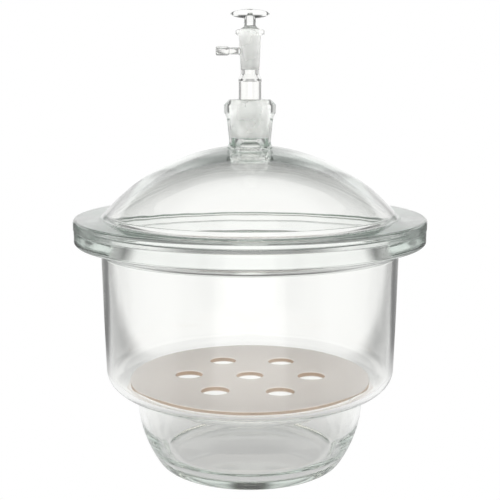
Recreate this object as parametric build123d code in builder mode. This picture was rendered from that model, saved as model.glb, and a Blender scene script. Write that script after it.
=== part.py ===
from build123d import *
import math
import os

os.makedirs("parts", exist_ok=True)

# Glass vacuum desiccator, nominal size 240 mm, standing on a table. Millimetres, +Z up.
# The origin is on the vertical axis at table height. The hose nozzle points along -X.

# ---------------------------------------------------------------- driving dimensions
flange_diameter = 300.0         # outside of the lid's flange
seam_height = 207.5             # middle of the grease film between the two ground flanges
grease_film = 0.1               # gap between the two ground faces
mouth_radius = 121.5            # clear opening of the vessel and of the lid

# base vessel
base_flange_radius = 149.5
base_flange_low_edge = 195.8    # height of the lower edge of the flange's rim
base_flange_slope = 18.2        # degrees, underside of the flange
body_top_radius = 127.4         # outside, where the wall meets the flange
body_low_radius = 124.7         # outside, where the wall meets the shoulder
shoulder_centre_height = 85.2
shoulder_outer_radius = 16.2
ledge_slope = 21.7              # degrees, the ledge falls towards the axis
bowl_sphere_radius = 102.6      # the lower bowl is a band of this sphere
bowl_sphere_height = 59.6       # height of that sphere's centre
bowl_sphere_offset = -4.0       # the profile's centre lies this far beyond the axis
bowl_top_radius = 98.5
bowl_wall = 5.0
shoulder_wall = 3.9
floor_height = 7.5              # inside floor of the bowl
floor_rounding = 28.0           # inside corner between the bowl's wall and its floor
foot_recess_radius = 66.0
foot_recess_depth = 1.0

# porcelain plate
plate_radius = 104.3
plate_thickness = 4.6
plate_seat_gap = 0.3
hole_radius = 12.0
hole_circle_radius = 53.8
hole_count = 6                  # around the centre hole
hole_turn = -2.3                # degrees, how the plate happens to lie

# lid
lid_flange_top = 216.0
dome_radius = 161.8             # outside of the spherical dome
dome_centre_height = 114.95
inner_dome_top_height = 267.5   # the inside is flatter, so the glass thickens towards the neck
neck_low_radius = 17.8
neck_low_height = 280.0
neck_high_radius = 19.6
neck_high_height = 298.0
bead_radius = 22.0
bead_low_height = 303.5
bead_high_height = 309.5
neck_top_height = 314.0
neck_top_radius = 17.8          # where the rounded bead meets the top face
neck_bore_radius = 10.4

# ground joint 24/29 between neck and stopcock
joint_top_height = 311.0
joint_length = 29.0
joint_large_radius = 12.0
joint_taper = 0.05              # radius lost per millimetre, a taper of 1 in 10
joint_clearance = 0.05

# stopcock body
tube_radius = 9.75
tube_top_height = 331.0
tube_bore_radius = 8.0
waist_radius = 7.8
waist_height = 335.0
waist_bore_radius = 5.0
barrel_low_height = 338.5
barrel_high_radius = 9.3
barrel_top_height = 371.3
barrel_bore_top_radius = 7.8
rim_radius = 12.15
rim_low_height = 366.2
nozzle_height = 353.9
nozzle_reach = 28.5             # tip of the nozzle, from the axis
olive_radius = 3.85
olive_length = 8.5              # the straight stretch that a hose grips
nozzle_neck_radius = 2.9
nozzle_bore_radius = 1.9

# stopcock plug
plug_clearance = 0.05
plug_low_height = 339.5
plug_wall = 1.8
plug_hollow_top = 368.0
stem_radius = 4.85
stem_low_height = 374.0
handle_half_width = 16.4
handle_centre_height = 384.1
handle_half_height = 3.9
handle_half_depth = 4.4
handle_end_radius = 2.4

flange_radius = flange_diameter / 2
base_top = seam_height - grease_film / 2
lid_bottom = seam_height + grease_film / 2


def corner(sketch, radius, height):
    """The corner of a half section that lies nearest to a point (radius, height)."""
    return sketch.vertices().sort_by_distance((radius, height, 0))[0]


def circle_radius_at(centre_radius, centre_height, arc_radius, height):
    """How far from the axis a circle of the half section lies at a height, on its outer side."""
    return centre_radius + math.sqrt(arc_radius ** 2 - (height - centre_height) ** 2)


def arc_between(centre, arc_radius, start, end):
    """The shorter arc about a centre, from one point of the half section to another."""
    a0 = math.atan2(start[1] - centre[1], start[0] - centre[0])
    a1 = math.atan2(end[1] - centre[1], end[0] - centre[0])
    middle = (a0 + a1) / 2
    across = (centre[0] + arc_radius * math.cos(middle), centre[1] + arc_radius * math.sin(middle))
    return ThreePointArc(start, across, end)


# ---------------------------------------------------------------- base vessel
# One pressed glass piece: ground flange, straight wall, rounded shoulder, sloping ledge, bowl.
slope = math.radians(ledge_slope)
shoulder_centre = (body_low_radius - shoulder_outer_radius, shoulder_centre_height)
bowl_centre = (bowl_sphere_offset, bowl_sphere_height)


def shoulder_end(radius):
    """Where a shoulder arc of this radius runs tangent into the sloping ledge."""
    return (shoulder_centre[0] + radius * math.sin(slope), shoulder_centre[1] - radius * math.cos(slope))


def ledge_height(end, radius):
    """Height of the sloping ledge that starts at a shoulder's end, at a distance from the axis."""
    return end[1] - (end[0] - radius) * math.tan(slope)


outer_shoulder_end = shoulder_end(shoulder_outer_radius)
outer_wall_low = (body_low_radius, shoulder_centre_height)
outer_junction = (bowl_top_radius, ledge_height(outer_shoulder_end, bowl_top_radius))
foot_radius = circle_radius_at(*bowl_centre, bowl_sphere_radius, 0)
outer_bowl_start = (circle_radius_at(*bowl_centre, bowl_sphere_radius, outer_junction[1]), outer_junction[1])
underside_drop = (base_flange_radius - body_top_radius) * math.tan(math.radians(base_flange_slope))
body_top = (body_top_radius, base_flange_low_edge - underside_drop)

inner_shoulder_radius = shoulder_outer_radius - shoulder_wall
inner_bowl_radius = bowl_sphere_radius - bowl_wall
inner_shoulder_end = shoulder_end(inner_shoulder_radius)
inner_top_radius = bowl_top_radius - bowl_wall
inner_junction = (inner_top_radius, ledge_height(inner_shoulder_end, inner_top_radius))
inner_bowl_start = (circle_radius_at(*bowl_centre, inner_bowl_radius, inner_junction[1]), inner_junction[1])
floor_radius = circle_radius_at(*bowl_centre, inner_bowl_radius, floor_height)
inner_wall_low = (shoulder_centre[0] + inner_shoulder_radius, shoulder_centre_height)

with BuildPart() as base_vessel:
    with BuildSketch(Plane.XZ) as outside:
        with BuildLine():
            Line((0, 0), (foot_radius, 0))
            arc_between(bowl_centre, bowl_sphere_radius, (foot_radius, 0), outer_bowl_start)
            Line(outer_bowl_start, outer_shoulder_end)
            arc_between(shoulder_centre, shoulder_outer_radius, outer_shoulder_end, outer_wall_low)
            Line(outer_wall_low, body_top)
            Line(body_top, (base_flange_radius, base_flange_low_edge))
            Line((base_flange_radius, base_flange_low_edge), (base_flange_radius, base_top))
            Line((base_flange_radius, base_top), (0, base_top))
            Line((0, base_top), (0, 0))
        make_face()
        fillet(corner(outside, foot_radius, 0), 4.0)
        fillet(corner(outside, *outer_bowl_start), 2.0)
        fillet(corner(outside, *body_top), 5.0)
        fillet(corner(outside, base_flange_radius, base_flange_low_edge), 2.6)
        fillet(corner(outside, base_flange_radius, base_top), 0.8)
    revolve(axis=Axis.Z)
    with BuildSketch(Plane.XZ) as inside:
        with BuildLine():
            Line((0, floor_height), (floor_radius, floor_height))
            arc_between(bowl_centre, inner_bowl_radius, (floor_radius, floor_height), inner_bowl_start)
            Line(inner_bowl_start, inner_shoulder_end)
            arc_between(shoulder_centre, inner_shoulder_radius, inner_shoulder_end, inner_wall_low)
            Line(inner_wall_low, (mouth_radius, base_top))
            Line((mouth_radius, base_top), (0, base_top))
            Line((0, base_top), (0, floor_height))
        make_face()
        fillet(corner(inside, floor_radius, floor_height), floor_rounding)
        fillet(corner(inside, *inner_bowl_start), 3.0)
    revolve(axis=Axis.Z, mode=Mode.SUBTRACT)
    mouth_edge = base_vessel.edges().filter_by(GeomType.CIRCLE).filter_by(
        lambda e: abs(e.radius - mouth_radius) < 0.01
    )
    fillet(mouth_edge, 1.2)
    with BuildSketch(Plane.XY):
        Circle(foot_recess_radius)
    extrude(amount=foot_recess_depth, mode=Mode.SUBTRACT)

# ---------------------------------------------------------------- perforated plate
# Loose porcelain disc, glazed on its faces, with one centre hole and six around it.
seat_height = ledge_height(inner_shoulder_end, plate_radius)
plate_underside = seat_height + plate_seat_gap

with BuildPart() as perforated_plate:
    with BuildSketch(Plane.XY.offset(plate_underside)):
        Circle(plate_radius)
        Circle(hole_radius, mode=Mode.SUBTRACT)
        with PolarLocations(hole_circle_radius, hole_count, start_angle=hole_turn):
            Circle(hole_radius, mode=Mode.SUBTRACT)
    extrude(amount=plate_thickness)
    fillet(perforated_plate.edges().filter_by(GeomType.CIRCLE), 0.7)

# ---------------------------------------------------------------- lid
# One glass piece: ground flange, spherical dome, and a thick neck with a beaded rim and a socket.
dome_centre = (0, dome_centre_height)
inner_dome_rise = inner_dome_top_height - lid_flange_top
inner_dome_radius = (mouth_radius ** 2 + inner_dome_rise ** 2) / (2 * inner_dome_rise)
inner_dome_centre = (0, inner_dome_top_height - inner_dome_radius)
dome_base = (circle_radius_at(*dome_centre, dome_radius, lid_flange_top), lid_flange_top)
dome_top_height = dome_centre_height + math.sqrt(dome_radius ** 2 - neck_low_radius ** 2)
joint_low_height = joint_top_height - joint_length
joint_small_radius = joint_large_radius - joint_taper * joint_length
inner_dome_low = (mouth_radius, lid_flange_top)
bore_low_height = inner_dome_centre[1] + math.sqrt(inner_dome_radius ** 2 - neck_bore_radius ** 2)
bore_low = (neck_bore_radius, bore_low_height)

with BuildPart() as lid:
    with BuildSketch(Plane.XZ) as outside:
        with BuildLine():
            Line((0, lid_bottom), (flange_radius, lid_bottom))
            Line((flange_radius, lid_bottom), (flange_radius, lid_flange_top))
            Line((flange_radius, lid_flange_top), dome_base)
            arc_between(dome_centre, dome_radius, dome_base, (neck_low_radius, dome_top_height))
            Line((neck_low_radius, dome_top_height), (neck_low_radius, neck_low_height))
            Line((neck_low_radius, neck_low_height), (neck_high_radius, neck_high_height))
            Line((neck_high_radius, neck_high_height), (bead_radius, bead_low_height))
            Line((bead_radius, bead_low_height), (bead_radius, bead_high_height))
            Line((bead_radius, bead_high_height), (neck_top_radius, neck_top_height))
            Line((neck_top_radius, neck_top_height), (0, neck_top_height))
            Line((0, neck_top_height), (0, lid_bottom))
        make_face()
        fillet(corner(outside, flange_radius, lid_flange_top), 3.0)
        fillet(corner(outside, flange_radius, lid_bottom), 1.0)
        fillet(corner(outside, *dome_base), 3.0)
        fillet(corner(outside, neck_low_radius, dome_top_height), 3.5)
        fillet(corner(outside, neck_high_radius, neck_high_height), 6.0)
        fillet(corner(outside, bead_radius, bead_low_height), 3.0)
        fillet(corner(outside, bead_radius, bead_high_height), 3.0)
        fillet(corner(outside, neck_top_radius, neck_top_height), 2.0)
    revolve(axis=Axis.Z)
    with BuildSketch(Plane.XZ) as inside:
        with BuildLine():
            Line((0, lid_bottom), (mouth_radius, lid_bottom))
            Line((mouth_radius, lid_bottom), inner_dome_low)
            arc_between(inner_dome_centre, inner_dome_radius, inner_dome_low, bore_low)
            Line(bore_low, (neck_bore_radius, joint_low_height))
            Line((neck_bore_radius, joint_low_height), (joint_small_radius, joint_low_height))
            Line((joint_small_radius, joint_low_height), (joint_large_radius, joint_top_height))
            Line((joint_large_radius, joint_top_height), (joint_large_radius + 1.5, neck_top_height))
            Line((joint_large_radius + 1.5, neck_top_height), (0, neck_top_height))
            Line((0, neck_top_height), (0, lid_bottom))
        make_face()
        fillet(corner(inside, *bore_low), 6.0)
    revolve(axis=Axis.Z, mode=Mode.SUBTRACT)

# ---------------------------------------------------------------- stopcock body
# Cone, tube, tapered barrel and side nozzle, joined hot by the glassblower into one piece.
cone_large_radius = joint_large_radius - joint_clearance
cone_small_radius = joint_small_radius - joint_clearance
barrel_bore_length = barrel_top_height - barrel_low_height
barrel_bore_low_radius = barrel_bore_top_radius - joint_taper * barrel_bore_length
olive_start = nozzle_reach - 1.0
olive_end = olive_start - olive_length
nozzle_neck_start = olive_end - 1.6

with BuildPart() as stopcock_body:
    with BuildSketch(Plane.XZ) as outside:
        with BuildLine():
            Polyline(
                (0, joint_low_height),
                (cone_small_radius, joint_low_height),
                (cone_large_radius, joint_top_height),
                (tube_radius, joint_top_height + 1.6),
                (tube_radius, tube_top_height),
                (waist_radius, waist_height),
                (waist_radius, barrel_low_height),
                (barrel_high_radius, rim_low_height),
                (rim_radius, rim_low_height + 1.4),
                (rim_radius, barrel_top_height),
                (0, barrel_top_height),
                close=True,
            )
        make_face()
        fillet(corner(outside, tube_radius, joint_top_height + 1.6), 1.0)
        fillet(corner(outside, tube_radius, tube_top_height), 1.8)
        fillet(corner(outside, waist_radius, waist_height), 1.5)
        fillet(corner(outside, rim_radius, rim_low_height + 1.4), 1.2)
        fillet(corner(outside, rim_radius, barrel_top_height), 1.4)
    revolve(axis=Axis.Z)
    with BuildSketch(Plane.XZ.shift_origin((0, 0, nozzle_height))) as nozzle:
        with BuildLine():
            Polyline(
                (0, 0),
                (-nozzle_reach, 0),
                (-nozzle_reach, olive_radius - 0.6),
                (-olive_start, olive_radius),
                (-olive_end, olive_radius),
                (-nozzle_neck_start, nozzle_neck_radius),
                (-barrel_high_radius, nozzle_neck_radius),
                (-waist_radius, nozzle_neck_radius + 1.4),
                (0, nozzle_neck_radius + 1.4),
                close=True,
            )
        make_face()
        fillet(corner(nozzle, -barrel_high_radius, nozzle_neck_radius), 1.5)
    revolve(axis=Axis((0, 0, nozzle_height), (1, 0, 0)))
    with BuildSketch(Plane.XZ) as inside:
        with BuildLine():
            Polyline(
                (0, joint_low_height),
                (tube_bore_radius, joint_low_height),
                (tube_bore_radius, tube_top_height - 2.0),
                (waist_bore_radius, waist_height),
                (waist_bore_radius, barrel_low_height),
                (barrel_bore_low_radius, barrel_low_height),
                (barrel_bore_top_radius, barrel_top_height),
                (0, barrel_top_height),
                close=True,
            )
        make_face()
        fillet(corner(inside, tube_bore_radius, tube_top_height - 2.0), 2.0)
    revolve(axis=Axis.Z, mode=Mode.SUBTRACT)
    with BuildSketch(Plane.YZ.offset(-nozzle_reach)):
        with Locations((0, nozzle_height)):
            Circle(nozzle_bore_radius)
    extrude(amount=nozzle_reach, mode=Mode.SUBTRACT)

# ---------------------------------------------------------------- stopcock plug
# Hollow ground plug, open below, with one side hole; above it a solid stem and a flat T-handle.
plug_top_radius = barrel_bore_top_radius - plug_clearance
plug_low_radius = plug_top_radius - joint_taper * (barrel_top_height - plug_low_height)
handle_top = handle_centre_height + handle_half_height
handle_bottom = handle_centre_height - handle_half_height
# The handle is a lens: two wide arcs that run tangent into the round ends.
end_centre = handle_half_width - handle_end_radius
wide_radius = (end_centre ** 2 + handle_half_height ** 2 - handle_end_radius ** 2) / (
    2 * (handle_half_height - handle_end_radius)
)
end_angle = math.atan2(wide_radius - handle_half_height, end_centre)
blend_reach = end_centre + handle_end_radius * math.cos(end_angle)
blend_high = handle_centre_height + handle_end_radius * math.sin(end_angle)
blend_low = handle_centre_height - handle_end_radius * math.sin(end_angle)
right_end = (handle_half_width, handle_centre_height)
left_end = (-handle_half_width, handle_centre_height)

with BuildPart() as stopcock_plug:
    with BuildSketch(Plane.XZ) as outside:
        with BuildLine():
            Polyline(
                (0, plug_low_height),
                (plug_low_radius, plug_low_height),
                (plug_top_radius, barrel_top_height),
                (plug_top_radius, barrel_top_height + 0.6),
                (stem_radius, stem_low_height),
                (stem_radius, handle_centre_height),
                (0, handle_centre_height),
                close=True,
            )
        make_face()
        fillet(corner(outside, plug_top_radius, barrel_top_height + 0.6), 1.0)
        fillet(corner(outside, stem_radius, stem_low_height), 1.0)
    revolve(axis=Axis.Z)
    with BuildSketch(Plane.XZ.offset(-handle_half_depth)):
        with BuildLine():
            ThreePointArc((-blend_reach, blend_high), (0, handle_top), (blend_reach, blend_high))
            ThreePointArc((blend_reach, blend_high), right_end, (blend_reach, blend_low))
            ThreePointArc((blend_reach, blend_low), (0, handle_bottom), (-blend_reach, blend_low))
            ThreePointArc((-blend_reach, blend_low), left_end, (-blend_reach, blend_high))
        make_face()
    extrude(amount=2 * handle_half_depth)
    with BuildSketch(Plane.XZ) as hollow:
        with BuildLine():
            Polyline(
                (0, plug_low_height),
                (plug_low_radius - plug_wall, plug_low_height),
                (plug_top_radius - plug_wall, plug_hollow_top),
                (0, plug_hollow_top),
                close=True,
            )
        make_face()
        fillet(corner(hollow, plug_top_radius - plug_wall, plug_hollow_top), 3.0)
    revolve(axis=Axis.Z, mode=Mode.SUBTRACT)
    with BuildSketch(Plane.YZ.offset(-barrel_high_radius)):
        with Locations((0, nozzle_height)):
            Circle(nozzle_bore_radius)
    extrude(amount=barrel_high_radius, mode=Mode.SUBTRACT)

# ---------------------------------------------------------------- write the pieces
pieces = {
    "base_vessel": base_vessel,
    "perforated_plate": perforated_plate,
    "lid": lid,
    "stopcock_body": stopcock_body,
    "stopcock_plug": stopcock_plug,
}
for name, piece in pieces.items():
    piece.part.label = name
    export_step(piece.part, f"parts/{name}.step")
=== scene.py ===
import bpy
import math
from mathutils import Matrix, Vector


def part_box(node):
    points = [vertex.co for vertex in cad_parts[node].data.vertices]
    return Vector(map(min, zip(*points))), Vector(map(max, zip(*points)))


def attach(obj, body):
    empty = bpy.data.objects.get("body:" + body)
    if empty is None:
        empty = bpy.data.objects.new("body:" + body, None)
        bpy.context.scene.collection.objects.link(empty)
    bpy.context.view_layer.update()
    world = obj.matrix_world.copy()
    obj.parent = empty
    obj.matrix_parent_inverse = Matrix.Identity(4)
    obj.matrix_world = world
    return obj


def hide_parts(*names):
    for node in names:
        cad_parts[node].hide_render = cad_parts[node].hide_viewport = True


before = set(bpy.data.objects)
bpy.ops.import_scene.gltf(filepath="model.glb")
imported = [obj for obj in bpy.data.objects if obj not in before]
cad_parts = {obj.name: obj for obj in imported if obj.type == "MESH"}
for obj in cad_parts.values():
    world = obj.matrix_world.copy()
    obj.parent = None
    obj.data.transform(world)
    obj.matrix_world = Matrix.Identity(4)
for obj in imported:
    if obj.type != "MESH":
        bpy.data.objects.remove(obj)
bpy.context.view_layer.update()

# ---------------------------------------------------------------- camera
# A long lens a little above the lid, looking slightly down on the vessel's axis.
camera_distance = 0.8297
camera_height = 0.3263
camera_pitch_down = 9.63
camera_lens = 70.2

camera_data = bpy.data.cameras.new("camera")
camera_data.lens = camera_lens
camera_data.clip_start = 0.01
camera = bpy.data.objects.new("camera", camera_data)
camera.location = (0.0, -camera_distance, camera_height)
camera.rotation_euler = (math.radians(90 - camera_pitch_down), 0.0, 0.0)
bpy.context.scene.collection.objects.link(camera)
bpy.context.scene.camera = camera
bpy.context.scene.view_settings.view_transform = "Standard"

# ---------------------------------------------------------------- studio
# A white sweep stands behind the glass and one like it in front, each just wide enough to fill the
# view. Beside them the room is dim, then pale again at the far sides. Higher up it is dark, and a
# soft light hangs overhead. Clear glass bends its edges towards the dim parts, and that draws its
# outline.
#
# Each step is a place and the light there. For the sweep the place is how far aside a level
# direction points, from 0 straight back or forward to 1 at right angles. For the sky it is how
# steeply a direction rises, from 0 level to 1 overhead.
sweep_steps = (
    (0.0, 1.06),
    (0.35, 1.04),
    (0.46, 0.22),
    (0.69, 0.22),
    (0.84, 0.70),
)
sweep_top = 0.08
sky_bottom = 0.24
sky_behind_steps = (
    (0.24, 0.45),
    (0.30, 0.06),
    (0.74, 0.10),
    (0.90, 0.66),
)
sky_beside_steps = (
    (0.24, 1.05),
    (0.37, 0.95),
    (0.43, 0.14),
    (0.74, 0.16),
    (0.90, 0.66),
)
beside_start = 0.08
beside_end = 0.20
matt_gain = 2.4
# The floor's painted shadow under the glass: its light, the radius it fills, and where it has faded out.
painted_shadow_light = 0.60
painted_shadow_radius = 0.07
painted_shadow_fade_radius = 0.17
near_light = 0.94
near_radius = 0.20
far_radius = 0.50
floor_half_size = 40.0
floor_drop = 0.0002


def light_steps(nodes, steps):
    """A ramp that eases from one light to the next at the given places."""
    ramp = nodes.new("ShaderNodeValToRGB")
    ramp.color_ramp.interpolation = "EASE"
    for i, (place, light) in enumerate(steps):
        stop = ramp.color_ramp.elements[i] if i < 2 else ramp.color_ramp.elements.new(place)
        stop.position = place
        stop.color = (light, light, light, 1.0)
    return ramp


def sweep_light_group():
    """How bright the studio is towards a level direction, given as a vector from the glass."""
    tree = bpy.data.node_groups.new("sweep_light", "ShaderNodeTree")
    tree.interface.new_socket("Direction", in_out="INPUT", socket_type="NodeSocketVector")
    tree.interface.new_socket("Light", in_out="OUTPUT", socket_type="NodeSocketFloat")
    tree.interface.new_socket("Aside", in_out="OUTPUT", socket_type="NodeSocketFloat")
    given = tree.nodes.new("NodeGroupInput")
    level = tree.nodes.new("ShaderNodeVectorMath")
    level.operation = "MULTIPLY"
    level.inputs[1].default_value = (1.0, 1.0, 0.0)
    unit = tree.nodes.new("ShaderNodeVectorMath")
    unit.operation = "NORMALIZE"
    axes = tree.nodes.new("ShaderNodeSeparateXYZ")
    lean = tree.nodes.new("ShaderNodeMath")
    lean.operation = "ABSOLUTE"
    ramp = light_steps(tree.nodes, sweep_steps)
    out = tree.nodes.new("NodeGroupOutput")
    tree.links.new(given.outputs["Direction"], level.inputs[0])
    tree.links.new(level.outputs["Vector"], unit.inputs[0])
    tree.links.new(unit.outputs["Vector"], axes.inputs[0])
    tree.links.new(axes.outputs["X"], lean.inputs[0])
    tree.links.new(lean.outputs[0], ramp.inputs["Fac"])
    tree.links.new(ramp.outputs["Color"], out.inputs["Light"])
    tree.links.new(lean.outputs[0], out.inputs["Aside"])
    return tree


sweep_light = sweep_light_group()


def eased(nodes, links, value, start, end, low, high):
    """A light that goes smoothly from low, or from another light, to high as a value rises."""
    step = nodes.new("ShaderNodeMapRange")
    step.interpolation_type = "SMOOTHSTEP"
    step.inputs["From Min"].default_value = start
    step.inputs["From Max"].default_value = end
    links.new(value, step.inputs["Value"])
    mix = nodes.new("ShaderNodeMix")
    for socket, light in (("A", low), ("B", high)):
        if isinstance(light, float):
            mix.inputs[socket].default_value = light
        else:
            links.new(light, mix.inputs[socket])
    links.new(step.outputs["Result"], mix.inputs["Factor"])
    return mix.outputs["Result"]


def room_light(nodes, links, light):
    """The same light, stronger on matt surfaces, and plain white where it is looked at directly."""
    ray = nodes.new("ShaderNodeLightPath")
    once = nodes.new("ShaderNodeMath")
    once.operation = "MINIMUM"
    once.inputs[1].default_value = 1.0
    links.new(ray.outputs["Diffuse Depth"], once.inputs[0])
    gain = nodes.new("ShaderNodeMath")
    gain.operation = "MULTIPLY_ADD"
    gain.inputs[1].default_value = matt_gain
    gain.inputs[2].default_value = 1.0
    links.new(once.outputs[0], gain.inputs[0])
    lit = nodes.new("ShaderNodeMath")
    lit.operation = "MULTIPLY"
    links.new(light, lit.inputs[0])
    links.new(gain.outputs[0], lit.inputs[1])
    mix = nodes.new("ShaderNodeMix")
    mix.inputs["B"].default_value = 1.0
    links.new(ray.outputs["Is Camera Ray"], mix.inputs["Factor"])
    links.new(lit.outputs[0], mix.inputs["A"])
    return mix.outputs["Result"]


world = bpy.data.worlds.new("studio")
bpy.context.scene.world = world
world.use_nodes = True
nodes = world.node_tree.nodes
links = world.node_tree.links
nodes.clear()
direction = nodes.new("ShaderNodeTexCoord")
axes = nodes.new("ShaderNodeSeparateXYZ")
links.new(direction.outputs["Generated"], axes.inputs[0])
sweep = nodes.new("ShaderNodeGroup")
sweep.node_tree = sweep_light
links.new(direction.outputs["Generated"], sweep.inputs["Direction"])
sky_behind = light_steps(nodes, sky_behind_steps)
links.new(axes.outputs["Z"], sky_behind.inputs["Fac"])
sky_beside = light_steps(nodes, sky_beside_steps)
links.new(axes.outputs["Z"], sky_beside.inputs["Fac"])
both_skies = (sky_behind.outputs["Color"], sky_beside.outputs["Color"])
sky_light = eased(nodes, links, sweep.outputs["Aside"], beside_start, beside_end, *both_skies)
sweep_and_sky = (sweep.outputs["Light"], sky_light)
light = eased(nodes, links, axes.outputs["Z"], sweep_top, sky_bottom, *sweep_and_sky)
sky = nodes.new("ShaderNodeBackground")
sky.inputs["Color"].default_value = (1.0, 1.0, 1.0, 1.0)
links.new(room_light(nodes, links, light), sky.inputs["Strength"])
out = nodes.new("ShaderNodeOutputWorld")
links.new(sky.outputs[0], out.inputs["Surface"])

floor_mesh = bpy.data.meshes.new("floor")
floor_corners = []
for x, y in ((-1, -1), (1, -1), (1, 1), (-1, 1)):
    floor_corners.append((x * floor_half_size, y * floor_half_size, -floor_drop))
floor_mesh.from_pydata(floor_corners, [], [(0, 1, 2, 3)])
floor = bpy.data.objects.new("floor", floor_mesh)
bpy.context.scene.collection.objects.link(floor)
paper = bpy.data.materials.new("white_sweep")
paper.use_nodes = True
nodes = paper.node_tree.nodes
links = paper.node_tree.links
nodes.clear()
# Far from the glass the floor takes the brightness of the room beyond it. Close by it is white, and
# right under the glass its glow is dimmed: a painted shadow of the vessel, not a cast one.
place = nodes.new("ShaderNodeTexCoord")
reach = nodes.new("ShaderNodeVectorMath")
reach.operation = "LENGTH"
links.new(place.outputs["Object"], reach.inputs[0])
sweep = nodes.new("ShaderNodeGroup")
sweep.node_tree = sweep_light
links.new(place.outputs["Object"], sweep.inputs["Direction"])
# Painted shadow: the floor's glow is dimmed right under the glass.
light = eased(nodes, links, reach.outputs["Value"], painted_shadow_radius, painted_shadow_fade_radius, painted_shadow_light, near_light)
light = eased(nodes, links, reach.outputs["Value"], near_radius, far_radius, light, sweep.outputs["Light"])
glow = nodes.new("ShaderNodeEmission")
links.new(room_light(nodes, links, light), glow.inputs["Strength"])
out = nodes.new("ShaderNodeOutputMaterial")
links.new(glow.outputs[0], out.inputs["Surface"])
floor_mesh.materials.append(paper)

# Light is passed on and thrown back many times inside thick glass.
light_bounces = 32
for kind in ("max_bounces", "transmission_bounces", "glossy_bounces", "diffuse_bounces"):
    setattr(bpy.context.scene.cycles, kind, light_bounces)

# ---------------------------------------------------------------- base vessel
# One heavy piece of pressed glass: a ground flange, a straight wall, a shoulder that falls to a
# ledge, and a bowl below it for the drying agent. The flange's top face alone is ground.
mm = 0.001
turned_segments = 256
rail_radius = 0.001 * mm
weld_distance = 0.005 * mm
degrees_per_step = 9
corner_share = 0.499
glass_ior = 1.5
glass_tint = (0.40, 0.56, 0.47)
tint_density = 3.6
base_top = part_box("base_vessel")[1].z


class Outline:
    """Half of a turned shape, drawn as (radius, height) points with rounded corners and arcs."""

    def __init__(self):
        self.points = []
        self.ground = []

    def to(self, radius, height, rounding=0.0, ground=False):
        """A straight run to a corner, which gets an arc of the given radius."""
        self.points.append((radius, height, rounding))
        self.ground.append(ground)
        return self

    def arc(self, centre, arc_radius, start, end, steps):
        """A round stretch about a centre, from one angle to another, in degrees."""
        for i in range(steps + 1):
            angle = math.radians(start + (end - start) * i / steps)
            radius = centre[0] + arc_radius * math.cos(angle)
            height = centre[1] + arc_radius * math.sin(angle)
            self.to(radius, height)
        return self

    def corner(self, i):
        """The points of one corner's arc, or the corner itself if it is sharp.

        An arc takes up just under half of each run beside it at most, so it may come out tighter.
        """
        here = Vector(self.points[i][:2])
        rounding = self.points[i][2]
        if rounding <= 0.0:
            return [here]
        before = Vector(self.points[i - 1][:2]) - here
        after = Vector(self.points[(i + 1) % len(self.points)][:2]) - here
        half = before.angle(after) / 2
        longest = corner_share * min(before.length, after.length)
        reach = min(rounding / math.tan(half), longest)
        radius = reach * math.tan(half)
        inwards = (before.normalized() + after.normalized()).normalized()
        middle = here + inwards * (radius / math.sin(half))
        first = here + before.normalized() * reach - middle
        last = here + after.normalized() * reach - middle
        turn = first.angle_signed(last)
        steps = max(3, round(abs(math.degrees(turn)) / degrees_per_step))
        curve = []
        for k in range(steps + 1):
            a = -turn * k / steps
            across = first.x * math.cos(a) - first.y * math.sin(a)
            up = first.x * math.sin(a) + first.y * math.cos(a)
            curve.append(middle + Vector((across, up)))
        return curve

    def drawn(self):
        """Every point of the finished outline with its ground mark."""
        rows = []
        for i in range(len(self.points)):
            for p in self.corner(i):
                rows.append((max(p.x, 0.0), p.y, self.ground[i]))
        return rows


def turning_tree():
    """Geometry Nodes that turn an outline round the vertical axis into a closed shell of glass."""
    tree = bpy.data.node_groups.new("turned_glass", "GeometryNodeTree")
    face = tree.interface
    face.new_socket("Outline", in_out="INPUT", socket_type="NodeSocketGeometry")
    face.new_socket("Segments", in_out="INPUT", socket_type="NodeSocketInt")
    face.new_socket("Clear", in_out="INPUT", socket_type="NodeSocketMaterial")
    face.new_socket("Ground", in_out="INPUT", socket_type="NodeSocketMaterial")
    face.new_socket("Geometry", in_out="OUTPUT", socket_type="NodeSocketGeometry")
    n = tree.nodes
    link = tree.links.new
    given = n.new("NodeGroupInput")
    curve = n.new("GeometryNodeMeshToCurve")
    rail = n.new("GeometryNodeCurvePrimitiveCircle")
    rail.inputs["Radius"].default_value = rail_radius
    shell = n.new("GeometryNodeCurveToMesh")
    closed = n.new("GeometryNodeMergeByDistance")
    closed.inputs["Distance"].default_value = weld_distance
    smooth = n.new("GeometryNodeSetShadeSmooth")
    mark = n.new("GeometryNodeInputNamedAttribute")
    mark.data_type = "BOOLEAN"
    mark.inputs["Name"].default_value = "ground"
    clear = n.new("GeometryNodeSetMaterial")
    ground = n.new("GeometryNodeSetMaterial")
    solid = n.new("GeometryNodeRealizeInstances")
    out = n.new("NodeGroupOutput")
    link(given.outputs["Outline"], curve.inputs["Mesh"])
    link(given.outputs["Segments"], rail.inputs["Resolution"])
    link(rail.outputs["Curve"], shell.inputs["Curve"])
    link(curve.outputs["Curve"], shell.inputs["Profile Curve"])
    link(shell.outputs["Mesh"], closed.inputs["Geometry"])
    link(closed.outputs["Geometry"], smooth.inputs["Geometry"])
    link(smooth.outputs["Geometry"], solid.inputs["Geometry"])
    link(solid.outputs["Geometry"], clear.inputs["Geometry"])
    link(given.outputs["Clear"], clear.inputs["Material"])
    link(clear.outputs["Geometry"], ground.inputs["Geometry"])
    link(given.outputs["Ground"], ground.inputs["Material"])
    link(mark.outputs["Attribute"], ground.inputs["Selection"])
    link(ground.outputs["Geometry"], out.inputs["Geometry"])
    return tree


turning = turning_tree()


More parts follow.
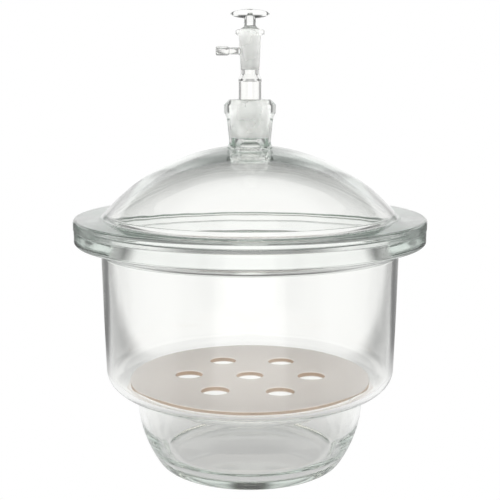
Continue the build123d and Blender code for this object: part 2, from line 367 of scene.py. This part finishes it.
def turned(name, outline, clear, ground):
    """A closed piece of glass turned from its outline, as a plain mesh with outward faces."""
    rows = outline.drawn()[::-1]
    edges = [(i, i + 1) for i in range(len(rows) - 1)]
    if rows[0][0] > 0.0:
        edges.append((len(rows) - 1, 0))
    sheet = bpy.data.meshes.new(name + "_outline")
    # The rail's frame lays the outline's second axis downwards, so heights go in negated.
    sheet.from_pydata([(r, -h, 0.0) for r, h, _ in rows], edges, [])
    marks = sheet.attributes.new("ground", "BOOLEAN", "POINT")
    marks.data.foreach_set("value", [g for _, _, g in rows])
    draft = bpy.data.objects.new(name + "_draft", sheet)
    bpy.context.scene.collection.objects.link(draft)
    modifier = draft.modifiers.new("turning", "NODES")
    modifier.node_group = turning
    inputs = {"Segments": turned_segments, "Clear": clear, "Ground": ground}
    for item in turning.interface.items_tree:
        if item.in_out == "INPUT" and item.name in inputs:
            modifier[item.identifier] = inputs[item.name]
    graph = bpy.context.evaluated_depsgraph_get()
    mesh = bpy.data.meshes.new_from_object(draft.evaluated_get(graph))
    mesh.name = name
    bpy.data.objects.remove(draft)
    piece = bpy.data.objects.new(name, mesh)
    bpy.context.scene.collection.objects.link(piece)
    return piece


def pressed_surface_group():
    """The faint waviness of a pressed or blown glass surface, as a normal."""
    tree = bpy.data.node_groups.new("pressed_surface", "ShaderNodeTree")
    tree.interface.new_socket("Waves per Metre", in_out="INPUT", socket_type="NodeSocketFloat")
    tree.interface.new_socket("Height", in_out="INPUT", socket_type="NodeSocketFloat")
    tree.interface.new_socket("Normal", in_out="OUTPUT", socket_type="NodeSocketVector")
    given = tree.nodes.new("NodeGroupInput")
    place = tree.nodes.new("ShaderNodeTexCoord")
    waves = tree.nodes.new("ShaderNodeTexNoise")
    waves.inputs["Detail"].default_value = 1.0
    bump = tree.nodes.new("ShaderNodeBump")
    bump.inputs["Strength"].default_value = 1.0
    out = tree.nodes.new("NodeGroupOutput")
    tree.links.new(place.outputs["Object"], waves.inputs["Vector"])
    tree.links.new(given.outputs["Waves per Metre"], waves.inputs["Scale"])
    tree.links.new(given.outputs["Height"], bump.inputs["Distance"])
    tree.links.new(waves.outputs["Fac"], bump.inputs["Height"])
    tree.links.new(bump.outputs["Normal"], out.inputs["Normal"])
    return tree


patches_per_metre = 90.0
grains_per_metre = 2600.0


def ground_surface_group():
    """The even grain that grinding leaves, as a roughness and a normal."""
    tree = bpy.data.node_groups.new("ground_surface", "ShaderNodeTree")
    tree.interface.new_socket("Smoothest", in_out="INPUT", socket_type="NodeSocketFloat")
    tree.interface.new_socket("Roughest", in_out="INPUT", socket_type="NodeSocketFloat")
    tree.interface.new_socket("Grain Height", in_out="INPUT", socket_type="NodeSocketFloat")
    tree.interface.new_socket("Roughness", in_out="OUTPUT", socket_type="NodeSocketFloat")
    tree.interface.new_socket("Normal", in_out="OUTPUT", socket_type="NodeSocketVector")
    given = tree.nodes.new("NodeGroupInput")
    place = tree.nodes.new("ShaderNodeTexCoord")
    patches = tree.nodes.new("ShaderNodeTexNoise")
    patches.inputs["Scale"].default_value = patches_per_metre
    patches.inputs["Detail"].default_value = 3.0
    spread = tree.nodes.new("ShaderNodeMapRange")
    spread.inputs["From Min"].default_value = 0.3
    spread.inputs["From Max"].default_value = 0.7
    grain = tree.nodes.new("ShaderNodeTexNoise")
    grain.inputs["Scale"].default_value = grains_per_metre
    bump = tree.nodes.new("ShaderNodeBump")
    bump.inputs["Strength"].default_value = 1.0
    out = tree.nodes.new("NodeGroupOutput")
    for texture in (patches, grain):
        tree.links.new(place.outputs["Object"], texture.inputs["Vector"])
    tree.links.new(patches.outputs["Fac"], spread.inputs["Value"])
    tree.links.new(given.outputs["Smoothest"], spread.inputs["To Min"])
    tree.links.new(given.outputs["Roughest"], spread.inputs["To Max"])
    tree.links.new(grain.outputs["Fac"], bump.inputs["Height"])
    tree.links.new(given.outputs["Grain Height"], bump.inputs["Distance"])
    tree.links.new(spread.outputs["Result"], out.inputs["Roughness"])
    tree.links.new(bump.outputs["Normal"], out.inputs["Normal"])
    return tree


pressed_surface = pressed_surface_group()
ground_surface = ground_surface_group()


def glass_material(name, clarity=1.0, whiteness=1.0):
    """Glass with its tint inside, so that long ways through it come out darker."""
    material = bpy.data.materials.new(name)
    material.use_nodes = True
    nodes = material.node_tree.nodes
    shader = nodes["Principled BSDF"]
    shader.inputs["Base Color"].default_value = (whiteness, whiteness, whiteness * 0.99, 1.0)
    shader.inputs["Roughness"].default_value = 0.0
    shader.inputs["IOR"].default_value = glass_ior
    shader.inputs["Transmission Weight"].default_value = clarity
    tint = nodes.new("ShaderNodeVolumeAbsorption")
    tint.inputs["Color"].default_value = (*glass_tint, 1.0)
    tint.inputs["Density"].default_value = tint_density
    material.node_tree.links.new(tint.outputs[0], nodes["Material Output"].inputs["Volume"])
    return material


def smooth_glass(name, waves_per_metre, wave_height):
    """Fire-polished glass: clear and shiny, a little wavy."""
    material = glass_material(name)
    nodes = material.node_tree.nodes
    surface = nodes.new("ShaderNodeGroup")
    surface.node_tree = pressed_surface
    surface.inputs["Waves per Metre"].default_value = waves_per_metre
    surface.inputs["Height"].default_value = wave_height
    material.node_tree.links.new(surface.outputs["Normal"], nodes["Principled BSDF"].inputs["Normal"])
    return material


def frosted_glass(name, clarity, smoothest, roughest, grain_height):
    """Glass ground with grit: dull, a little milky, with the grain of the grit."""
    material = glass_material(name, clarity, 0.99)
    nodes = material.node_tree.nodes
    surface = nodes.new("ShaderNodeGroup")
    surface.node_tree = ground_surface
    surface.inputs["Smoothest"].default_value = smoothest
    surface.inputs["Roughest"].default_value = roughest
    surface.inputs["Grain Height"].default_value = grain_height
    shader = nodes["Principled BSDF"]
    material.node_tree.links.new(surface.outputs["Roughness"], shader.inputs["Roughness"])
    material.node_tree.links.new(surface.outputs["Normal"], shader.inputs["Normal"])
    return material


pressed_glass = smooth_glass("pressed_glass", 28.0, 0.12 * mm)
greased_face = frosted_glass("greased_face", 0.97, 0.05, 0.12, 0.001 * mm)
ground_glass = frosted_glass("ground_glass", 0.42, 0.24, 0.34, 0.003 * mm)

base_outline = Outline()
base_outline.to(0.0, 0.3 * mm)
base_outline.to(70.0 * mm, 0.0, 60.0 * mm)
base_outline.to(79.46 * mm, 0.0, 5.0 * mm)
base_outline.arc((-4.0 * mm, 59.6 * mm), 102.6 * mm, -32.5, 2.0, 30)
base_outline.to(98.4 * mm, 63.68 * mm, 2.0 * mm)
base_outline.arc((108.5 * mm, 85.2 * mm), 16.2 * mm, -68.3, 0.0, 24)
base_outline.to(127.4 * mm, 188.41 * mm, 5.0 * mm)
base_outline.to(149.5 * mm, 195.8 * mm, 2.6 * mm)
base_outline.to(149.5 * mm, base_top, 0.8 * mm)
base_outline.to(148.6 * mm, base_top, 0.0, ground=True)
base_outline.to(122.7 * mm, base_top, 0.0, ground=True)
base_outline.to(121.5 * mm, base_top, 1.0 * mm)
base_outline.arc((108.5 * mm, 85.2 * mm), 12.3 * mm, 0.0, -68.3, 20)
base_outline.to(93.7 * mm, 66.0 * mm, 3.0 * mm)
base_outline.arc((-4.0 * mm, 59.6 * mm), 97.6 * mm, 1.0, -14.0, 14)
base_outline.to(79.0 * mm, 8.4 * mm, 34.0 * mm)
base_outline.to(0.0, 7.2 * mm)

base_piece = turned("base_vessel_glass", base_outline, pressed_glass, greased_face)
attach(base_piece, "base")
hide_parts("base_vessel")

# ---------------------------------------------------------------- lid
# A blown dome of the same glass, with a flange ground flat to seal on the vessel's. The dome gets
# thicker towards its neck, whose bore is ground to a taper for the stopcock's cone.
lid_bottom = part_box("lid")[0].z
socket_bottom = 282.0 * mm
socket_top = 311.0 * mm
socket_reach = 12.1 * mm
lid_outline = Outline()
lid_outline.to(121.5 * mm, lid_bottom, 1.0 * mm)
lid_outline.to(123.0 * mm, lid_bottom, 0.0, ground=True)
lid_outline.to(148.5 * mm, lid_bottom, 0.0, ground=True)
lid_outline.to(150.0 * mm, lid_bottom, 1.0 * mm)
lid_outline.to(150.0 * mm, 216.0 * mm, 3.0 * mm)
lid_outline.to(126.4 * mm, 216.0 * mm, 3.0 * mm)
lid_outline.arc((0.0, 114.95 * mm), 161.8 * mm, 40.0, 82.5, 40)
lid_outline.to(17.8 * mm, 275.7 * mm, 3.5 * mm)
lid_outline.to(17.8 * mm, 280.0 * mm)
lid_outline.to(19.6 * mm, 298.0 * mm, 6.0 * mm)
lid_outline.to(22.0 * mm, 303.5 * mm, 3.0 * mm)
lid_outline.to(22.0 * mm, 309.5 * mm, 3.0 * mm)
lid_outline.to(17.8 * mm, 314.0 * mm, 2.0 * mm)
lid_outline.to(13.5 * mm, 314.0 * mm, 0.6 * mm)
lid_outline.to(12.0 * mm, socket_top)
lid_outline.to(10.55 * mm, socket_bottom)
lid_outline.to(10.4 * mm, socket_bottom)
lid_outline.to(10.4 * mm, 267.2 * mm, 6.0 * mm)
lid_outline.arc((0.0, 98.44 * mm), 169.06 * mm, 84.0, 44.06, 40)

lid_piece = turned("lid_glass", lid_outline, pressed_glass, greased_face)
lid_piece.data.materials.append(ground_glass)
for face in lid_piece.data.polygons:
    radius = math.hypot(face.center.x, face.center.y)
    if radius < socket_reach and socket_bottom < face.center.z < socket_top:
        face.material_index = len(lid_piece.data.materials) - 1
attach(lid_piece, "lid")
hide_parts("lid")

# ---------------------------------------------------------------- porcelain plate
# A loose disc of hard porcelain that rests on the ledge. Its two faces are glazed; the rim and the
# walls of the seven holes were wiped clean before firing, so they show the tan, dry body.
plate_low, plate_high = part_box("perforated_plate")
glaze_white = (0.70, 0.655, 0.625, 1.0)
glaze_shade = (0.67, 0.62, 0.585, 1.0)
biscuit_light = (0.38, 0.285, 0.21, 1.0)
biscuit_dark = (0.30, 0.22, 0.155, 1.0)
biscuit_roughness = 0.8
glaze_roughness = 0.24
glaze_wander = 0.6 * mm
glaze_fade = 0.5 * mm
glaze_relief = 0.04 * mm
clouds_per_metre = 45.0
grit_per_metre = 1400.0
glaze_edge = 0.7 * mm


def porcelain_material():
    """White glaze with a faint cloudiness over a tan, granular body that shows on the edges."""
    material = bpy.data.materials.new("porcelain")
    material.use_nodes = True
    nodes = material.node_tree.nodes
    link = material.node_tree.links.new
    shader = nodes["Principled BSDF"]
    shader.inputs["Coat Weight"].default_value = 0.0
    place = nodes.new("ShaderNodeTexCoord")
    axes = nodes.new("ShaderNodeSeparateXYZ")
    link(place.outputs["Object"], axes.inputs[0])
    middle = (plate_low.z + plate_high.z) / 2
    half = (plate_high.z - plate_low.z) / 2
    lift = nodes.new("ShaderNodeMath")
    lift.operation = "SUBTRACT"
    lift.inputs[1].default_value = middle
    link(axes.outputs["Z"], lift.inputs[0])
    depth = nodes.new("ShaderNodeMath")
    depth.operation = "ABSOLUTE"
    link(lift.outputs[0], depth.inputs[0])
    cloud = nodes.new("ShaderNodeTexNoise")
    cloud.inputs["Scale"].default_value = clouds_per_metre
    cloud.inputs["Detail"].default_value = 4.0
    link(place.outputs["Object"], cloud.inputs["Vector"])
    grit = nodes.new("ShaderNodeTexNoise")
    grit.inputs["Scale"].default_value = grit_per_metre
    grit.inputs["Detail"].default_value = 4.0
    link(place.outputs["Object"], grit.inputs["Vector"])
    wander = nodes.new("ShaderNodeMath")
    wander.operation = "MULTIPLY_ADD"
    wander.inputs[1].default_value = glaze_wander
    link(cloud.outputs["Fac"], wander.inputs[0])
    link(depth.outputs[0], wander.inputs[2])
    glazed = nodes.new("ShaderNodeMapRange")
    glazed.interpolation_type = "SMOOTHSTEP"
    glazed.inputs["From Min"].default_value = half - glaze_edge
    glazed.inputs["From Max"].default_value = half - glaze_edge + glaze_fade
    link(wander.outputs[0], glazed.inputs["Value"])
    glaze = nodes.new("ShaderNodeMix")
    glaze.data_type = "RGBA"
    glaze.inputs["A"].default_value = glaze_white
    glaze.inputs["B"].default_value = glaze_shade
    link(cloud.outputs["Fac"], glaze.inputs["Factor"])
    biscuit = nodes.new("ShaderNodeMix")
    biscuit.data_type = "RGBA"
    biscuit.inputs["A"].default_value = biscuit_light
    biscuit.inputs["B"].default_value = biscuit_dark
    link(grit.outputs["Fac"], biscuit.inputs["Factor"])
    colour = nodes.new("ShaderNodeMix")
    colour.data_type = "RGBA"
    link(glazed.outputs["Result"], colour.inputs["Factor"])
    link(biscuit.outputs["Result"], colour.inputs["A"])
    link(glaze.outputs["Result"], colour.inputs["B"])
    link(colour.outputs["Result"], shader.inputs["Base Color"])
    gloss = nodes.new("ShaderNodeMapRange")
    gloss.inputs["To Min"].default_value = biscuit_roughness
    gloss.inputs["To Max"].default_value = glaze_roughness
    link(glazed.outputs["Result"], gloss.inputs["Value"])
    link(gloss.outputs["Result"], shader.inputs["Roughness"])
    relief = nodes.new("ShaderNodeBump")
    relief.inputs["Strength"].default_value = 1.0
    relief.inputs["Distance"].default_value = glaze_relief
    link(cloud.outputs["Fac"], relief.inputs["Height"])
    link(relief.outputs["Normal"], shader.inputs["Normal"])
    return material


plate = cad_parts["perforated_plate"]
plate.data.materials.clear()
plate.data.materials.append(porcelain_material())

# ---------------------------------------------------------------- stopcock body
# Lampworked from tube: the cone that sits in the lid's neck, a plain tube, and the barrel with its
# hose nozzle. The outside of the cone and the bore of the barrel are ground to a taper.
blown_glass = smooth_glass("blown_glass", 90.0, 0.03 * mm)
taper = 0.05


def combined(piece, operation, other):
    """One closed mesh from two: their union, or the first with the second cut out of it."""
    modifier = piece.modifiers.new("combine", "BOOLEAN")
    modifier.operation = operation
    modifier.solver = "EXACT"
    modifier.object = other
    graph = bpy.context.evaluated_depsgraph_get()
    mesh = bpy.data.meshes.new_from_object(piece.evaluated_get(graph))
    piece.modifiers.clear()
    piece.data = mesh
    bpy.data.objects.remove(other)


def lay_along_minus_x(piece, height):
    """Turns a piece made round the vertical axis so that it points along -X at a height."""
    lift = Matrix.Translation((0.0, 0.0, height))
    piece.data.transform(lift @ Matrix.Rotation(math.radians(-90), 4, "Y"))


def finish_glass(piece, is_ground):
    """Gives a piece clear glass, and ground glass where a test on (radius, height) says so."""
    piece.data.materials.clear()
    piece.data.materials.append(blown_glass)
    piece.data.materials.append(ground_glass)
    for face in piece.data.polygons:
        radius = math.hypot(face.center.x, face.center.y)
        face.material_index = 1 if is_ground(radius, face.center.z) else 0
        face.use_smooth = True


cone_bottom = 282.0 * mm
cone_top = 311.0 * mm
barrel_bottom = 338.5 * mm
barrel_top = 371.3 * mm
cone_wall_middle = 9.0 * mm
barrel_wall_middle = 7.0 * mm
body_outline = Outline()
body_outline.to(8.0 * mm, cone_bottom, 0.3 * mm)
body_outline.to(10.5 * mm, cone_bottom, 0.3 * mm)
body_outline.to(11.95 * mm, cone_top)
body_outline.to(9.75 * mm, 312.6 * mm, 1.0 * mm)
body_outline.to(9.75 * mm, 331.0 * mm, 2.2 * mm)
body_outline.to(7.8 * mm, 335.0 * mm, 1.5 * mm)
body_outline.to(7.8 * mm, barrel_bottom, 3.0 * mm)
body_outline.to(9.3 * mm, 366.2 * mm, 1.0 * mm)
body_outline.to(12.15 * mm, 367.6 * mm, 1.2 * mm)
body_outline.to(12.15 * mm, barrel_top, 1.4 * mm)
body_outline.to(7.8 * mm, barrel_top, 0.2 * mm)
body_outline.to(6.16 * mm, barrel_bottom)
body_outline.to(5.0 * mm, barrel_bottom, 0.3 * mm)
body_outline.to(5.0 * mm, 335.0 * mm, 1.5 * mm)
body_outline.to(8.0 * mm, 329.0 * mm, 2.5 * mm)

nozzle_height = 353.9 * mm
nozzle_bore = 1.9 * mm
nozzle_outline = Outline()
nozzle_outline.to(0.0, 7.6 * mm)
nozzle_outline.to(4.6 * mm, 7.6 * mm)
nozzle_outline.to(2.9 * mm, 9.4 * mm, 1.6 * mm)
nozzle_outline.to(2.9 * mm, 17.4 * mm, 1.0 * mm)
nozzle_outline.to(3.85 * mm, 19.0 * mm, 1.0 * mm)
nozzle_outline.to(3.85 * mm, 27.5 * mm, 1.5 * mm)
nozzle_outline.to(3.2 * mm, 28.5 * mm, 0.3 * mm)
nozzle_outline.to(0.0, 28.5 * mm)
passage_outline = Outline()
passage_outline.to(0.0, 3.0 * mm)
passage_outline.to(nozzle_bore, 3.0 * mm)
passage_outline.to(nozzle_bore, 29.5 * mm)
passage_outline.to(0.0, 29.5 * mm)

stopcock_body = turned("stopcock_body_glass", body_outline, blown_glass, ground_glass)
nozzle = turned("nozzle", nozzle_outline, blown_glass, ground_glass)
lay_along_minus_x(nozzle, nozzle_height)
passage = turned("passage", passage_outline, blown_glass, ground_glass)
lay_along_minus_x(passage, nozzle_height)
combined(stopcock_body, "UNION", nozzle)
combined(stopcock_body, "DIFFERENCE", passage)


def on_cone_or_barrel_bore(radius, height):
    if cone_bottom < height < cone_top:
        return radius > cone_wall_middle
    if barrel_bottom < height < barrel_top:
        return radius < barrel_wall_middle + taper * (height - barrel_bottom)
    return False


finish_glass(stopcock_body, on_cone_or_barrel_bore)
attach(stopcock_body, "stopcock")
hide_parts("stopcock_body")

# ---------------------------------------------------------------- stopcock plug
# A hollow plug ground to the barrel's taper, with one hole in its side that meets the nozzle, and a
# solid stem pressed into a flat lens-shaped handle.
plug_bottom = 339.5 * mm
plug_wall_middle = 5.3 * mm
plug_outline = Outline()
plug_outline.to(0.0, 368.0 * mm)
plug_outline.to(5.95 * mm, 368.0 * mm, 3.0 * mm)
plug_outline.to(4.36 * mm, plug_bottom, 0.2 * mm)
plug_outline.to(6.16 * mm, plug_bottom, 0.4 * mm)
plug_outline.to(7.75 * mm, barrel_top)
plug_outline.to(7.75 * mm, 371.9 * mm, 1.2 * mm)
plug_outline.to(4.85 * mm, 374.2 * mm, 1.6 * mm)
plug_outline.to(4.85 * mm, 384.1 * mm)
plug_outline.to(0.0, 384.1 * mm)

handle_middle = 384.1 * mm
handle_half_width = 16.4 * mm
handle_half_height = 3.9 * mm
handle_half_depth = 4.4 * mm
handle_rings = 72
handle_spokes = 48
handle_taper = 2.1
handle_fullness = 0.62


def handle_mesh():
    """A lens laid on its side: an ellipse at each step along X, round at both ends."""
    verts = [(-handle_half_width, 0.0, handle_middle)]
    for i in range(1, handle_rings):
        along = -math.cos(math.pi * i / handle_rings)
        swell = (1.0 - abs(along) ** handle_taper) ** handle_fullness
        depth = (1.0 - along ** 4) ** 0.5
        for k in range(handle_spokes):
            a = 2 * math.pi * k / handle_spokes
            y = -handle_half_depth * depth * math.cos(a)
            z = handle_middle + handle_half_height * swell * math.sin(a)
            verts.append((handle_half_width * along, y, z))
    verts.append((handle_half_width, 0.0, handle_middle))
    last = len(verts) - 1
    faces = []
    for k in range(handle_spokes):
        following = (k + 1) % handle_spokes
        faces.append((0, 1 + k, 1 + following))
        for i in range(handle_rings - 2):
            here = 1 + i * handle_spokes
            there = here + handle_spokes
            faces.append((here + k, there + k, there + following, here + following))
        end = 1 + (handle_rings - 2) * handle_spokes
        faces.append((end + k, last, end + following))
    mesh = bpy.data.meshes.new("handle")
    mesh.from_pydata(verts, [], faces)
    return mesh


stopcock_plug = turned("stopcock_plug_glass", plug_outline, blown_glass, ground_glass)
handle = bpy.data.objects.new("handle", handle_mesh())
bpy.context.scene.collection.objects.link(handle)
combined(stopcock_plug, "UNION", handle)
side_hole_outline = Outline()
side_hole_outline.to(0.0, 3.0 * mm)
side_hole_outline.to(nozzle_bore, 3.0 * mm)
side_hole_outline.to(nozzle_bore, 9.0 * mm)
side_hole_outline.to(0.0, 9.0 * mm)
side_hole = turned("side_hole", side_hole_outline, blown_glass, ground_glass)
lay_along_minus_x(side_hole, nozzle_height)
combined(stopcock_plug, "DIFFERENCE", side_hole)


def on_plug_taper(radius, height):
    wall_middle = plug_wall_middle + taper * (height - plug_bottom)
    return plug_bottom < height < barrel_top and radius > wall_middle


finish_glass(stopcock_plug, on_plug_taper)
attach(stopcock_plug, "plug")
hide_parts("stopcock_plug")
